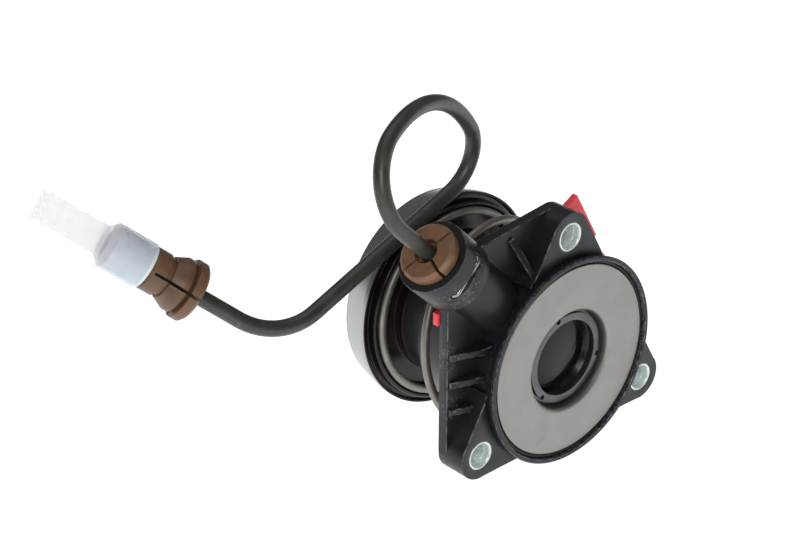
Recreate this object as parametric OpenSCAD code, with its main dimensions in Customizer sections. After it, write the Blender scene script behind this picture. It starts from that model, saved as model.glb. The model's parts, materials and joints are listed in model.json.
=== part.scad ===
// Concentric slave cylinder with a bent pressure pipe, its line connector and a protective cap.
// Millimetres. The Y axis is the cylinder's axis and +Y points to the clutch.
// The mounting face lies in the plane y = 0, and +Z is up as fitted.

/* [Flange] */
// Radius of the circle through the three fixing holes
bolt_circle_r = 40; // [39:0.25:43]
// Outer radius of each ear
ear_r = 7.6; // [7:0.1:8.5]
// Bore radius of the steel sleeves in the ears
sleeve_bore_r = 3.5; // [3:0.1:3.8]
// Wall of the steel sleeves
sleeve_wall = 1; // [0.6:0.1:1.4]
// Depth of the flange from the mounting face to its rear face
flange_depth = 10.2; // [10:0.1:12]
// Thickness of the flange's rear plate
plate_t = 3.5; // [2.5:0.1:4.5]
// Outer radius of the drum that carries the steel disc
drum_r = 33.3; // [33:0.1:34]
// How far the flange's upper edge drops from the upper ear to the port's corner
corner_drop = 4; // [2:0.5:6]
// Thickness of the gusset ribs
rib_t = 2; // [1.5:0.25:3]
// Height of the lowest rib on the side below the port
rib_z = -5.5; // [-8:0.5:-3]
// Distance between the ribs below the port
rib_pitch = 9; // [7:0.5:10]
// Direction of the rib beside the upper ear, in degrees
upper_rib_angle = 113; // [110:1:118]

/* [Guide sleeve] */
// Radius of the steel disc on the gearbox side
disc_r = 30.5; // [29.5:0.25:31]
// How far the disc stands out of the mounting face
disc_stand = 2.2; // [1.8:0.1:2.5]
// Thickness of the drawn sheet steel
sheet_t = 1.5; // [1:0.1:1.6]
// Bore radius of the guide tube
tube_bore_r = 15.5; // [15:0.25:16]
// Radius of the roll between the disc and the tube
roll_r = 2; // [2:0.25:4]
// How far the tube ends short of the carrier's spring seat
tube_setback = 4.6; // [4:0.1:5.5]

/* [Cylinder and piston] */
// Width of the ring-shaped pressure chamber between the guide tube and the cylinder
chamber_w = 6.5; // [6:0.1:7]
// Wall of the cylinder
cylinder_wall = 3.5; // [3:0.1:3.8]
// Place of the cylinder's clutch end
cylinder_end_y = 36; // [34:0.25:36]
// Radial clearance of the sliding piston
slide_gap = 0.06; // [0.03:0.01:0.1]
// Length of the piston's lip seal
seal_len = 4; // [3:0.25:5]
// Full stroke of the piston
stroke = 14; // [11:0.5:15]

/* [Release bearing] */
// Thickness of the carrier's web
web_t = 2.4; // [2:0.1:3]
// Outer radius of the bearing's steel shell
shell_r = 35.4; // [35:0.1:36.5]
// Sheet thickness of the shell
shell_t = 0.85; // [0.6:0.05:1]
// Axial length of the shell
shell_len = 12; // [11.8:0.1:13]
// How far the circle through the ball centres lies inside the shell's outer radius
ball_inset = 8.8; // [8.4:0.1:9.2]
// Ball radius
ball_r = 2.4; // [2.2:0.05:2.5]
// Number of balls
ball_count = 20; // [12:1:24]
// Depth of the rotating ring from the ball circle to its bore
race_depth = 7.1; // [6.6:0.1:7.6]

/* [Preload spring] */
// Wire diameter
wire_d = 2.7; // [2:0.1:3]
// Mean coil radius at the flange
coil_base_r = 34; // [33.5:0.1:34.5]
// How far the coil's centre line at the bearing lies inside the shell's outer radius
coil_inset = 5.4; // [5.2:0.1:5.9]
// Number of turns
coil_turns = 3; // [2.5:0.25:5]
// Thickness of the red seat ring under the spring
seat_ring_t = 2.2; // [1.5:0.1:3]

/* [Port and pressure pipe] */
// Direction of the port, in degrees from +X towards +Z
port_angle = 135; // [132:1:138]
// Place of the port's axis along the cylinder
port_y = 10.7; // [10:0.1:11]
// Distance of the port's outer face from the cylinder's axis
port_face_r = 66.7; // [65:0.1:69]
// Outer radius of the port boss
boss_r = 11; // [10.5:0.1:12]
// Outer radius of the feed duct's wall
duct_r = 9.5; // [8.5:0.1:10]
// Outer diameter of the pressure pipe
pipe_d = 4.75; // [4.5:0.05:5]
// Wall of the pressure pipe
pipe_wall = 0.7; // [0.5:0.05:1]
// Outer radius of the collets' flange
collet_r = 8.9; // [8.5:0.1:9.5]

/* [Protective cap] */
// Outer radius of the cap
cap_r = 6.8; // [6.7:0.05:7.5]
// Wall of the cap
cap_wall = 0.9; // [0.7:0.05:1]
// Length of the cap's cup
cap_len = 13.5; // [12.5:0.25:16]
// Length of the pull tab
tab_len = 21; // [12:0.5:28]
// Width of the pull tab
tab_w = 9.2; // [6:0.2:11]
// Thickness of the pull tab
tab_t = 1.6; // [1:0.1:2.5]

/* [Hidden] */
$fn = 64;
eps = 0.01;
// Clearance where one piece seats in another of the same body
fit = 0.05;
// Clearance between pieces that move past each other
run = 0.3;

// Bends of the pipe from the port outwards: straight length before the bend,
// turn of the bend's plane, bend angle and bend radius
PIPE_BENDS = [[12.5, 293, 114, 16], [0.5, 11, 71, 40], [0.5, 19, 107, 13], [58, 36, 66, 22]];
// Straight length after the last bend
PIPE_TAIL = 15;
// Corners of the pipe's section and the largest turn between its rings
pipe_sides = 16;
bend_step = 10;

EARS = [90, 210, 330];
ear_pad_reach = 18;
// How far the straight edges lie inside the ears' round ends
edge_tuck = 0.05;
edge_r = ear_r - edge_tuck;
// How far the ears and the drum stop short of the plate's rear face
rear_step = 0.1;
corner_x = bolt_circle_r * cos(EARS[1]);
corner_z = bolt_circle_r - corner_drop;
plate_y = flange_depth - plate_t;
side_edge = bolt_circle_r * cos(60) + edge_r;

// Heights along the cylinder that follow from the stroke, with the piston fully out
end_gap = 0.6;
seat_y = cylinder_end_y + stroke + end_gap;
tube_end_y = seat_y - tube_setback;

tube_r = tube_bore_r + sheet_t;
bore_r = tube_r + chamber_w;
disc_back_y = sheet_t - disc_stand;
cylinder_r = bore_r + cylinder_wall;
chamber_y = 4.4;

// Rubber ring round the disc
rim_seal_w = 1.1;
rim_seal_depth = 0.3;
rim_seal_set = 0.2;
rim_r0 = disc_r + 2 * fit;
rim_r1 = rim_r0 + rim_seal_w + 2 * fit;
rim_stand = 1;
rim_front_y = -disc_stand - rim_stand;
rim_lip = 4;
rim_taper = 1.1;
rim_groove = 0.5;
relief_r = drum_r - 2.3;

// Ring seals: wire radius and groove length
sleeve_seal_w = 1;
sleeve_seal_y = 2.6;
wiper_len = 3;
wiper_w = 1.7;

// Shaft seal in the guide tube
seal_case_y = -0.2;
seal_case_len = 7.4;
seal_case_t = 1;
seal_ring_r = tube_bore_r - seal_case_t;
seal_hole_r = tube_bore_r - 3.4;
seal_lip_r = tube_bore_r - 4.5;
garter_r = 0.6;
garter_set = 5.2;
garter_y = seal_case_y + garter_set;
NOTCHES = [106, 226, 346];
notch_r = 0.9;
notch_in = 0.5;

// Piston and its stop
piston_r0 = tube_r + slide_gap;
piston_r1 = bore_r - slide_gap;
feed_margin = 0.5;
feed_y = flange_depth - 3.6;
feed_r = pipe_d / 2 - pipe_wall;
seal_y = feed_y + feed_r + feed_margin + stroke;
piston_y = seal_y + seal_len;
nose_r = bore_r - 2.5;
nose_len = 4.5;
shoulder_y = seat_y - 3.6;
nose_end_y = shoulder_y + nose_len;
stop_t = 1;
stop_w = 2;
stop_depth = sheet_t / 2;
stop_y = tube_end_y - 2;
stop_room_r = tube_r - stop_depth + stop_w + run;

// Release bearing, from the carrier outwards
pitch_r = shell_r - ball_inset;
race_bore_r = pitch_r - race_depth;
coil_top_r = shell_r - coil_inset;
carrier_back_y = seat_y + web_t;
carrier_r = shell_r - shell_t - fit;
lip_r0 = coil_top_r + wire_d / 2 + run;
lip_r1 = lip_r0 + 1.4;
lip_h = 1.9;
lip_groove = 1.3;
shell_y = seat_y + 0.3;
shell_end_y = shell_y + shell_len;
shell_end_r = shell_r - 1.9;
shell_lip_w = 5;
shell_lip_r = shell_end_r - shell_lip_w;
ball_y = carrier_back_y + ball_r + 1.2;
groove_r = ball_r + 0.2;
ring_gap = 1.7;
outer_race_r0 = pitch_r + ring_gap;
outer_race_r1 = shell_end_r - shell_t - run;
inner_race_r1 = pitch_r - ring_gap;
outer_race_y1 = shell_end_y - shell_t - 1.4;
cage_t = 1.1;
cage_half = ball_r + 0.6;
shield_t = 0.5;
contact_y = shell_end_y + 2;
nose_face_r = inner_race_r1 + 0.8;

// Preload spring and its seat ring
wire_r = wire_d / 2;
seat_ring_y = flange_depth + seat_ring_t;
spring_room_r = coil_base_r + wire_r + 1.2;
coil_y0 = seat_ring_y + run + wire_r;
coil_y1 = seat_y - run - wire_r;
coil_dead = 0.95;
coil_start = 302;
coil_steps = 22;
wire_sides = 8;
seat_rim = 0.4;
lug_step = 0.1;
lug_out = 6.9;
lug_from = -33;
lug_to = -14.5;
side_lug_out = 0.6;
side_lug_z = 23.8;
side_lug_w = 4;

// Collet: lengths are measured from its outer face inwards
collet_flange = 3.4;
collet_waist = 1.2;
collet_waist_r = 7;
collet_taper_end = 9.4;
collet_groove = 1.6;
collet_end = 15.6;
collet_bulge_r = 8;
collet_neck_r = 6.35;
collet_groove_r = 5.5;
collet_mouth_r = 3.75;
collet_mouth_depth = 2.6;
slit_w = 0.8;
port_slit_turn = 65;
line_slit_turn = 20;
slit_depth = collet_end - 1.2;
pipe_r = pipe_d / 2;
pipe_bore_r = pipe_r - pipe_wall;
pipe_hole_r = pipe_r + fit;
port_mouth_r = port_face_r - collet_flange;
ring_seal_w = 1.05;
ring_seal_len = 2 * ring_seal_w + 2 * fit;
pipe_tip = collet_end + ring_seal_len + 4;
feed_room_r = 4;
feed_room = 3;

// Wire clip that locks the collet in the port
clip_r = 0.7;
clip_s = collet_taper_end + collet_groove / 2;
clip_leg = collet_groove_r + clip_r + fit;
clip_bridge = boss_r - 1.5;
clip_tip = boss_r - 2.4;
clip_bend = 1.6;
clip_slot = 2 * clip_r + 0.4;

// Far end of the line
spigot_r = pipe_r + 2.1;
spigot_len = 8;
spigot_end = collet_end + spigot_len;
line_seal_z = collet_end + spigot_len / 2;
line_seal_r0 = pipe_r + 1;
cap_mouth = collet_end + run;
cap_floor_t = 1.6;
cap_shoulder = 1.8;
tab_bead = 0.4;
tab_grip = 2.5;

// Turns an outline of (radius, y) points about the cylinder's axis
module turned() {
    rotate([-90, 0, 0])
        rotate_extrude()
            children();
}

// Extrudes an outline of (x, z) points from y0 to y1
module slab(y0, y1) {
    translate([0, y1, 0])
        rotate([90, 0, 0])
            linear_extrude(y1 - y0)
                children();
}

// Round bar along the cylinder's axis at (x, z), from y0 to y1
module bar_y(x, z, r, y0, y1) {
    translate([x, y0, z])
        rotate([-90, 0, 0])
            cylinder(h = y1 - y0, r = r);
}

// Ring of round section about the cylinder's axis
module round_ring(r, y, w) {
    turned()
        translate([r, y])
            circle(w);
}

// Local frame of the port: z runs outwards along it, x along the cylinder
module at_port(r) {
    translate([0, port_y, 0])
        rotate([0, 90 - port_angle, 0])
            rotate([0, 0, 90])
                translate([0, 0, r])
                    children();
}

// Carries children from the start of bend i to the pipe's far end
module along_pipe(i = 0) {
    if (i == len(PIPE_BENDS)) {
        translate([0, 0, PIPE_TAIL])
            children();
    } else {
        to_bend(i)
            past_bend(i)
                along_pipe(i + 1)
                    children();
    }
}

module to_bend(i) {
    translate([0, 0, PIPE_BENDS[i][0]])
        rotate([0, 0, PIPE_BENDS[i][1]])
            children();
}

module past_bend(i) {
    translate([PIPE_BENDS[i][3], 0, 0])
        rotate([0, PIPE_BENDS[i][2], 0])
            translate([-PIPE_BENDS[i][3], 0, 0])
                children();
}

module at_line_end() {
    at_port(port_face_r)
        along_pipe()
            children();
}

// Places children at each ear, with x pointing outwards along the flange and z along +Y
module at_ears(y0) {
    for (a = EARS)
        rotate([0, -a, 0])
            translate([0, y0, 0])
                rotate([-90, 0, 0])
                    children();
}

// Flange

module ear_outline() {
    pad_r = edge_r - edge_tuck;
    rise = pad_r * sin(60);
    out = bolt_circle_r + pad_r * cos(60);
    back_x = out - ear_pad_reach * cos(30);
    back_y = rise + ear_pad_reach * sin(30);
    polygon([[out, rise], [out, -rise], [back_x, -back_y], [back_x, back_y]]);
}

// Ears, with a shallow groove in their faces under the drum's overhanging rim
module ears() {
    difference() {
        at_ears(0) {
            linear_extrude(flange_depth - rear_step)
                ear_outline();
            translate([bolt_circle_r, 0, 0])
                cylinder(h = flange_depth - rear_step, r = ear_r);
        }
        turned()
            translate([0, -eps])
                square([drum_r + fit, rim_groove + eps]);
    }
}

module rear_plate() {
    top = [0, bolt_circle_r];
    corner = [corner_x, corner_z];
    low = [corner_x, bolt_circle_r * sin(EARS[1])];
    right = [-low[0], low[1]];
    slope = atan2(corner_drop, -corner_x);
    lift = edge_r * [-sin(slope), cos(slope)];
    left = [-edge_r, 0];
    down = [0, -edge_r];
    side = edge_r * [cos(30), sin(30)];
    slab(plate_y, flange_depth)
        polygon([top + lift, corner + lift, corner + left, low + left, low + down, right + down,
            right + side, top + side]);
    bar_y(corner_x, corner_z, ear_r, plate_y + rear_step, flange_depth - rear_step);
}

// Sloping rib in the plane z = 0 that runs outwards along x from r0 to r1, with its front edge at y = rib_top
module gusset(r0, r1, rib_top) {
    rib_low = plate_y + 0.5;
    rib_end = plate_y - 0.8;
    translate([0, 0, -rib_t / 2])
        linear_extrude(rib_t)
            polygon([[r0, rib_top], [r0 + 4, rib_top], [r1, rib_end], [r1, rib_low], [r0, rib_low]]);
}

module ribs() {
    side_root = 6;
    side_front = 2.4;
    upper_root = 5;
    upper_front = 1;
    for (i = [0:2])
        translate([0, 0, rib_z + i * rib_pitch])
            rotate([0, 180, 0])
                gusset(drum_r - side_root, ear_r - corner_x - 0.6, side_front);
    rotate([0, -upper_rib_angle, 0])
        gusset(drum_r - upper_root, bolt_circle_r + ear_r - 1, upper_front);
}

module drum() {
    edge = 0.4;
    turned()
        polygon([[bore_r, disc_back_y], [rim_r0, disc_back_y], [rim_r0, disc_back_y + rim_seal_depth],
            [rim_r1, disc_back_y + rim_seal_depth], [rim_r1, rim_front_y], [drum_r - edge, rim_front_y],
            [drum_r, rim_front_y + edge], [drum_r - rim_taper, rim_front_y + rim_lip],
            [relief_r, rim_front_y + rim_lip + edge], [relief_r, flange_depth - rear_step],
            [bore_r, flange_depth - rear_step]]);
}

module cylinder_wall_ring() {
    collar_r0 = tube_r + fit;
    groove_r1 = tube_r + 2 * sleeve_seal_w + 2 * fit;
    groove_y0 = sleeve_seal_y - sleeve_seal_w - fit;
    groove_y1 = sleeve_seal_y + sleeve_seal_w + fit;
    wiper_y = cylinder_end_y - wiper_len;
    turned()
        polygon([[collar_r0 + roll_r, disc_back_y], [cylinder_r, disc_back_y], [cylinder_r, cylinder_end_y],
            [bore_r + wiper_w + fit, cylinder_end_y], [bore_r + wiper_w + fit, wiper_y],
            [bore_r, wiper_y], [bore_r, chamber_y], [collar_r0, chamber_y], [collar_r0, groove_y1],
            [groove_r1, groove_y1], [groove_r1, groove_y0], [collar_r0 + roll_r, groove_y0]]);
}

module port_body() {
    boss_len = 13;
    difference() {
        at_port(0) {
            translate([0, 0, cylinder_r - 1])
                cylinder(h = port_mouth_r - cylinder_r - boss_len / 2, r = duct_r);
            translate([0, 0, port_mouth_r - boss_len])
                cylinder(h = boss_len, r = boss_r);
        }
        bar_y(0, 0, spring_room_r, plate_y + plate_t / 2, cylinder_end_y);
        slab(plate_y + plate_t / 2, seat_ring_y + run)
            side_lug_outline(run);
    }
}

module port_bores() {
    at_port(port_face_r) {
        translate([0, 0, -collet_taper_end])
            cylinder(h = collet_taper_end, r = collet_bulge_r + 2 * fit);
        translate([0, 0, -collet_end])
            cylinder(h = collet_end, r = collet_neck_r + fit);
        translate([0, 0, -collet_end - ring_seal_len])
            cylinder(h = ring_seal_len + eps, r = pipe_r + 2 * ring_seal_w + 2 * fit);
        translate([0, 0, -pipe_tip])
            cylinder(h = pipe_tip, r = pipe_hole_r);
        translate([0, 0, -pipe_tip - feed_room])
            cylinder(h = feed_room, r = feed_room_r);
        translate([feed_y - port_y, 0, bore_r - port_face_r - 1])
            cylinder(h = port_face_r - bore_r - pipe_tip + 0.5, r = feed_r);
    }
}

module clip_slots() {
    at_port(port_face_r - clip_s) {
        for (side = [-1, 1])
            translate([-boss_r - 1, side * clip_leg - clip_slot / 2, -clip_slot / 2])
                cube([boss_r + clip_tip + 2, clip_slot, clip_slot]);
        translate([-boss_r - 1, -clip_leg, -clip_slot / 2])
            cube([boss_r + 1 - clip_bridge + clip_slot / 2, 2 * clip_leg, clip_slot]);
    }
}

module housing() {
    color([0.16, 0.16, 0.18])
        difference() {
            union() {
                difference() {
                    union() {
                        drum();
                        ears();
                        rear_plate();
                        ribs();
                        port_body();
                    }
                    turned()
                        square([bore_r + 1, cylinder_end_y]);
                    turned()
                        translate([0, -cylinder_end_y])
                            square([rim_r0, cylinder_end_y + disc_back_y]);
                    turned()
                        translate([rim_r0 - eps, -cylinder_end_y])
                            square([rim_seal_w + 2 * fit + eps,
                                cylinder_end_y + disc_back_y + rim_seal_depth]);
                }
                cylinder_wall_ring();
            }
            at_ears(-1)
                translate([bolt_circle_r, 0, 0])
                    cylinder(h = flange_depth + 2, r = sleeve_bore_r + sleeve_wall + fit);
            port_bores();
            clip_slots();
        }
}

module bolt_sleeves() {
    color([0.78, 0.83, 0.83])
        at_ears(0)
            translate([bolt_circle_r, 0, 0])
                difference() {
                    cylinder(h = flange_depth, r = sleeve_bore_r + sleeve_wall);
                    translate([0, 0, -1])
                        cylinder(h = flange_depth + 2, r = sleeve_bore_r);
                }
}

// Guide sleeve, drawn from one sheet: disc, roll and tube

module guide_sleeve() {
    back_roll = roll_r - sheet_t;
    color([0.61, 0.6, 0.58])
        difference() {
            turned()
                difference() {
                    union() {
                        translate([tube_bore_r, -disc_stand])
                            square([disc_r - tube_bore_r, sheet_t]);
                        translate([tube_bore_r, -disc_stand])
                            square([sheet_t, tube_end_y + disc_stand]);
                        translate([tube_bore_r, -disc_stand])
                            square([roll_r, roll_r]);
                    }
                    difference() {
                        translate([tube_bore_r - 1, -disc_stand - 1])
                            square([roll_r + 1, roll_r + 1]);
                        translate([tube_bore_r + roll_r, roll_r - disc_stand])
                            circle(roll_r);
                    }
                    translate([tube_bore_r + roll_r, roll_r - disc_stand])
                        circle(back_roll);
                }
            turned()
                translate([tube_r - stop_depth, stop_y - fit])
                    square([sheet_t, stop_t + 2 * fit]);
        }
}

module stop_ring() {
    color([0.45, 0.46, 0.48])
        turned()
            translate([tube_r - stop_depth + fit, stop_y])
                square([stop_w, stop_t]);
}

// Seals

module rim_seal() {
    r0 = rim_r0 + fit;
    r1 = r0 + rim_seal_w;
    mid = (r0 + r1) / 2;
    front = -disc_stand + rim_seal_set;
    color([0.1, 0.1, 0.11])
        turned()
            polygon([[r0, disc_back_y + rim_seal_depth], [r0, front + 0.6], [mid - 0.4, front],
                [mid + 0.4, front], [r1, front + 0.6], [r1, disc_back_y + rim_seal_depth]]);
}

module sleeve_seal() {
    color([0.1, 0.1, 0.1])
        round_ring(tube_r + fit + sleeve_seal_w, sleeve_seal_y, sleeve_seal_w);
}

module wiper_ring() {
    wiper_y = cylinder_end_y - wiper_len;
    lip = bore_r - slide_gap / 2;
    color([0.12, 0.12, 0.13])
        turned()
            polygon([[bore_r + 0.4, wiper_y], [bore_r + wiper_w, wiper_y],
                [bore_r + wiper_w, cylinder_end_y - 0.2], [lip, cylinder_end_y - 0.2],
                [lip, cylinder_end_y - 1]]);
}

module shaft_seal_case() {
    wall_r = tube_bore_r - fit;
    step_y = seal_case_y + seal_case_t;
    end_y = seal_case_y + seal_case_len;
    color([0.35, 0.35, 0.36])
        difference() {
            turned()
                polygon([[seal_hole_r, seal_case_y], [seal_ring_r, seal_case_y], [seal_ring_r, step_y],
                    [wall_r, step_y], [wall_r, end_y], [wall_r - seal_case_t, end_y],
                    [wall_r - seal_case_t, step_y + seal_case_t], [seal_hole_r, step_y + seal_case_t]]);
            for (a = NOTCHES)
                rotate([0, -a, 0])
                    bar_y(seal_ring_r - notch_in, 0, notch_r, seal_case_y - 1, step_y - eps);
        }
}

module shaft_seal_lip() {
    y0 = seal_case_y + 2 * seal_case_t;
    y1 = seal_case_y + seal_case_len;
    r1 = tube_bore_r - seal_case_t - 2 * fit;
    pocket_r = seal_lip_r + 1.2;
    color([0.09, 0.09, 0.1])
        difference() {
            turned()
                polygon([[seal_hole_r, y0], [r1, y0], [r1, y0 + 1.4], [pocket_r + 1, y0 + 1.4],
                    [pocket_r + 1, y1 - 0.4], [seal_lip_r + 0.5, y1 - 0.4], [seal_lip_r, y1 - 1.4],
                    [seal_lip_r, y1 - 3.4]]);
            round_ring(pocket_r + 1, garter_y, garter_r + fit);
        }
}

module seal_garter_spring() {
    color([0.6, 0.6, 0.6])
        round_ring(seal_lip_r + 2.2, garter_y, garter_r);
}

// Preload spring and its red seat

// Lug below the port, grown on all sides
module side_lug_outline(grow) {
    out = corner_x - ear_r - side_lug_out - grow;
    translate([out, side_lug_z - side_lug_w / 2 - grow])
        square([-cylinder_r - out, side_lug_w + 2 * grow]);
}

module spring_seat_ring() {
    ring_r0 = cylinder_r + run;
    ring_r1 = coil_base_r + seat_rim;
    lug_y0 = flange_depth + lug_step;
    lug_y1 = seat_ring_y - lug_step;
    color([0.8, 0.2, 0.24])
        difference() {
            union() {
                bar_y(0, 0, ring_r1, flange_depth, seat_ring_y);
                rotate([0, -30, 0])
                    slab(lug_y0, lug_y1)
                        translate([0, -lug_to])
                            square([side_edge + lug_out, lug_to - lug_from]);
                slab(lug_y0, lug_y1)
                    side_lug_outline(0);
            }
            bar_y(0, 0, ring_r0, flange_depth - 1, seat_ring_y + 1);
        }
}

// Share of the rise at turn t: the end turns lie nearly flat
function coil_rise(t) = let (live = coil_turns - 2 * coil_dead)
    t < coil_dead ? 0 : t > coil_turns - coil_dead ? 1 : (t - coil_dead) / live;

function coil_angle(t) = coil_start - 360 * t;

function coil_point(t) = let (k = coil_rise(t), r = coil_base_r + (coil_top_r - coil_base_r) * k)
    [r * cos(coil_angle(t)), coil_y0 + (coil_y1 - coil_y0) * k, r * sin(coil_angle(t))];

// One ring of points round the wire at turn t, in the plane through the axis
function wire_ring(t) = [for (j = [0:wire_sides - 1]) let (a = 360 * j / wire_sides, p = coil_point(t))
    p + wire_r * [cos(coil_angle(t)) * cos(a), -sin(a), sin(coil_angle(t)) * cos(a)]];

module preload_spring() {
    last = round(coil_turns * coil_steps);
    n = wire_sides;
    points = [for (i = [0:last]) each wire_ring(i / coil_steps)];
    sides = [for (i = [0:last - 1], j = [0:n - 1])
        [i * n + j, (i + 1) * n + j, (i + 1) * n + (j + 1) % n, i * n + (j + 1) % n]];
    start = [for (j = [0:n - 1]) j];
    end = [for (j = [n - 1:-1:0]) last * n + j];
    color([0.5, 0.49, 0.45])
        polyhedron(points, concat([start, end], sides), convexity = 10);
}

// Port fittings and pressure line

// Collet on the local z axis, its slits turned by slit_turn: its outer face is at z = 0 and it reaches to -z
module collet(slit_turn) {
    difference() {
        rotate_extrude()
            polygon([[pipe_hole_r, -collet_end], [collet_neck_r - 0.5, -collet_end],
                [collet_neck_r, -collet_end + 0.5], [collet_neck_r, -collet_taper_end - collet_groove],
                [collet_groove_r, -collet_taper_end - collet_groove], [collet_groove_r, -collet_taper_end],
                [collet_neck_r, -collet_taper_end], [collet_bulge_r, -collet_taper_end + 3.4],
                [collet_bulge_r, -collet_flange - collet_waist], [collet_waist_r, -collet_flange],
                [collet_r, -collet_flange], [collet_r, -0.9], [collet_r - 0.9, 0],
                [collet_mouth_r, 0], [collet_mouth_r, -collet_mouth_depth],
                [pipe_hole_r, -collet_mouth_depth - 1]]);
        for (a = [0, 90])
            rotate([0, 0, a + slit_turn])
                translate([-collet_r - 1, -slit_w / 2, -slit_depth])
                    cube([2 * collet_r + 2, slit_w, slit_depth + 1]);
    }
}

// Rubber ring on the pipe, just past a collet's inner end
module ring_on_pipe() {
    rotate_extrude()
        translate([pipe_r + fit + ring_seal_w, 0])
            circle(ring_seal_w);
}

module port_collet() {
    color([0.46, 0.36, 0.28])
        at_port(port_face_r)
            collet(port_slit_turn);
}

module port_seal() {
    color([0.1, 0.1, 0.1])
        at_port(port_face_r - collet_end - fit - ring_seal_w)
            ring_on_pipe();
}

// Wire bent through a right angle at the origin, from +y to +x
module clip_corner() {
    translate([clip_bend, clip_bend, 0])
        rotate([0, 0, 180])
            rotate_extrude(angle = 90)
                translate([clip_bend, 0])
                    circle(clip_r);
}

module port_clip() {
    leg = clip_bridge + clip_tip - clip_bend;
    color([0.75, 0.76, 0.78])
        at_port(port_face_r - clip_s) {
            for (side = [-1, 1])
                translate([clip_bend - clip_bridge, side * clip_leg, 0])
                    rotate([0, 90, 0])
                        cylinder(h = leg, r = clip_r);
            translate([-clip_bridge, -clip_leg, 0])
                clip_corner();
            translate([-clip_bridge, clip_leg, 0])
                mirror([0, 1, 0])
                    clip_corner();
            translate([-clip_bridge, clip_bend - clip_leg, 0])
                rotate([-90, 0, 0])
                    cylinder(h = 2 * (clip_leg - clip_bend), r = clip_r);
        }
}

// A frame on the pipe's centreline is [point, heading, side of the bend, side kept without twist]
function before_bend(f, b) = [f[0] + b[0] * f[1], f[1],
    cos(b[1]) * f[2] + sin(b[1]) * cross(f[1], f[2]), f[3]];

function on_bend(f, b, u) = let (axis = cross(f[1], f[2]), side = cos(u) * f[2] - sin(u) * f[1])
    [f[0] + b[3] * (f[2] - side), cos(u) * f[1] + sin(u) * f[2], side,
        (f[3] * f[2]) * side + (f[3] * axis) * axis];

function frames_from(f, i) = i == len(PIPE_BENDS) ?
    [[f[0] + (PIPE_TAIL + spigot_end - 1) * f[1], f[1], f[2], f[3]]] :
    let (b = PIPE_BENDS[i], start = before_bend(f, b), steps = ceil(b[2] / bend_step))
    concat([start], [for (k = [1:steps]) on_bend(start, b, b[2] * k / steps)],
        frames_from(on_bend(start, b, b[2]), i + 1));

// Ring of points of radius r round the centreline at frame f
function pipe_ring(f, r) = [for (j = [0:pipe_sides - 1]) let (a = 360 * j / pipe_sides)
    f[0] + r * (cos(a) * f[3] + sin(a) * cross(f[1], f[3]))];

// Side faces of a tube of rings whose first point has the number k
function tube_sides(k, rings) = [for (i = [0:rings - 2], j = [0:pipe_sides - 1])
    let (p = k + i * pipe_sides, q = p + pipe_sides, m = (j + 1) % pipe_sides)
    [p + j, q + j, q + m, p + m]];

function flipped(faces) = [for (f = faces) [f[3], f[2], f[1], f[0]]];

module pressure_pipe() {
    tip = [[0, 0, -pipe_tip], [0, 0, 1], [1, 0, 0], [1, 0, 0]];
    frames = concat([tip], frames_from([[0, 0, 0], [0, 0, 1], [1, 0, 0], [1, 0, 0]], 0));
    rings = len(frames);
    n = pipe_sides;
    inner = rings * n;
    last = (rings - 1) * n;
    points = concat([for (f = frames) each pipe_ring(f, pipe_r)],
        [for (f = frames) each pipe_ring(f, pipe_bore_r)]);
    near_end = [for (j = [0:n - 1]) [j, (j + 1) % n, inner + (j + 1) % n, inner + j]];
    far_end = [for (j = [0:n - 1]) [j, (j + 1) % n, inner + (j + 1) % n, inner + j] + last * [1, 1, 1, 1]];
    faces = concat(tube_sides(0, rings), flipped(tube_sides(inner, rings)), near_end, flipped(far_end));
    color([0.3, 0.31, 0.27])
        at_port(port_face_r)
            polyhedron(points, faces, convexity = 12);
}

module line_connector() {
    color([0.48, 0.37, 0.28])
        at_line_end()
            difference() {
                union() {
                    rotate([180, 0, 0])
                        collet(line_slit_turn);
                    translate([0, 0, collet_end - 1])
                        cylinder(h = spigot_end - collet_end + 1, r = spigot_r);
                }
                cylinder(h = spigot_end + 1, r = pipe_hole_r);
                translate([0, 0, line_seal_z])
                    rotate_extrude()
                        translate([line_seal_r0, -ring_seal_len / 2])
                            square([spigot_r, ring_seal_len]);
            }
}

module line_seal() {
    color([0.1, 0.1, 0.1])
        at_line_end()
            translate([0, 0, line_seal_z])
                rotate_extrude()
                    translate([line_seal_r0 + fit + ring_seal_w, 0])
                        circle(ring_seal_w);
}

module protective_cap() {
    shoulder_z = cap_mouth + cap_len - cap_shoulder;
    end_z = cap_mouth + cap_len;
    inner = cap_r - cap_wall;
    color([0.93, 0.95, 0.97])
        at_line_end() {
            rotate_extrude()
                polygon([[inner, cap_mouth], [cap_r, cap_mouth], [cap_r, shoulder_z],
                    [cap_r - cap_shoulder, end_z], [0, end_z], [0, end_z - cap_floor_t],
                    [inner - 1, end_z - cap_floor_t], [inner, end_z - cap_floor_t - 1]]);
            translate([-tab_w / 2, -tab_t / 2, end_z - eps])
                cube([tab_w, tab_t, tab_len]);
            translate([-tab_w / 2, -tab_t / 2 - tab_bead, end_z + tab_len - tab_grip])
                cube([tab_w, tab_t + 2 * tab_bead, tab_grip]);
        }
}

// Piston

module piston() {
    color([0.13, 0.13, 0.14])
        turned()
            polygon([[piston_r0, piston_y], [piston_r1, piston_y], [piston_r1, shoulder_y],
                [nose_r, shoulder_y], [nose_r, nose_end_y], [stop_room_r, nose_end_y],
                [stop_room_r, stop_y - run], [piston_r0, stop_y - run]]);
}

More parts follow.
